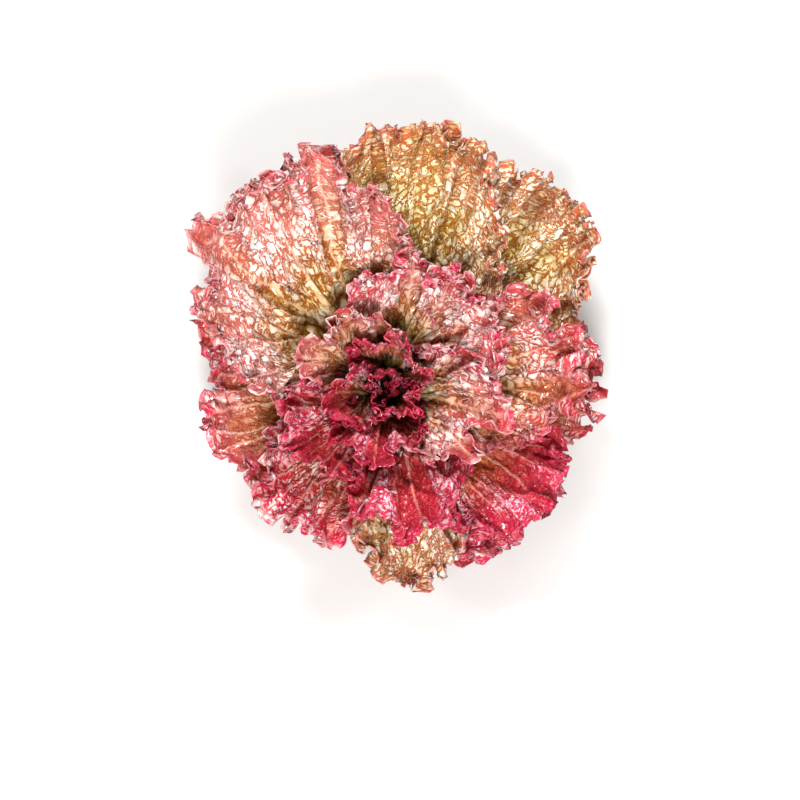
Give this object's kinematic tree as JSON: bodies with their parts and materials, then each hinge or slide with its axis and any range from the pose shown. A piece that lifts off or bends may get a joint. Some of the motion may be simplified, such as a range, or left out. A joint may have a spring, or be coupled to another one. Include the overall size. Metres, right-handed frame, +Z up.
{
  "type": "lollo rosso lettuce",
  "caption": "Head of loose-leaf red lettuce with crimped, frilled leaves in a spiral round a short cut stem, resting on the stem's cut face.",
  "frame": {"origin": "centre of the stem's cut face, on the surface the head rests on", "axes": "+Z up through the head, -Y to the side the head leans to, +X to the right of someone who looks along +Y"},
  "size_m": [0.2211, 0.253, 0.1449],
  "materials": {
    "stem": "satin",
    "outer_leaf": "glossy, crimped",
    "inner_leaf": "glossy, crimped"
  },
  "bodies": {
    "root": {"stem": "stem", "leaf_01": "outer_leaf", "leaf_02": "outer_leaf", "leaf_03": "outer_leaf", "leaf_04": "outer_leaf", "leaf_05": "outer_leaf", "leaf_06": "outer_leaf", "leaf_07": "outer_leaf", "leaf_08": "outer_leaf", "leaf_09": "outer_leaf", "leaf_10": "outer_leaf", "leaf_11": "outer_leaf", "leaf_12": "outer_leaf", "leaf_13": "outer_leaf", "leaf_14": "inner_leaf", "leaf_15": "inner_leaf", "leaf_16": "inner_leaf", "leaf_17": "inner_leaf", "leaf_18": "inner_leaf", "leaf_19": "inner_leaf", "leaf_20": "inner_leaf", "leaf_21": "inner_leaf", "leaf_22": "inner_leaf", "leaf_23": "inner_leaf", "leaf_24": "inner_leaf", "leaf_25": "inner_leaf"}
  },
  "joints": []
}
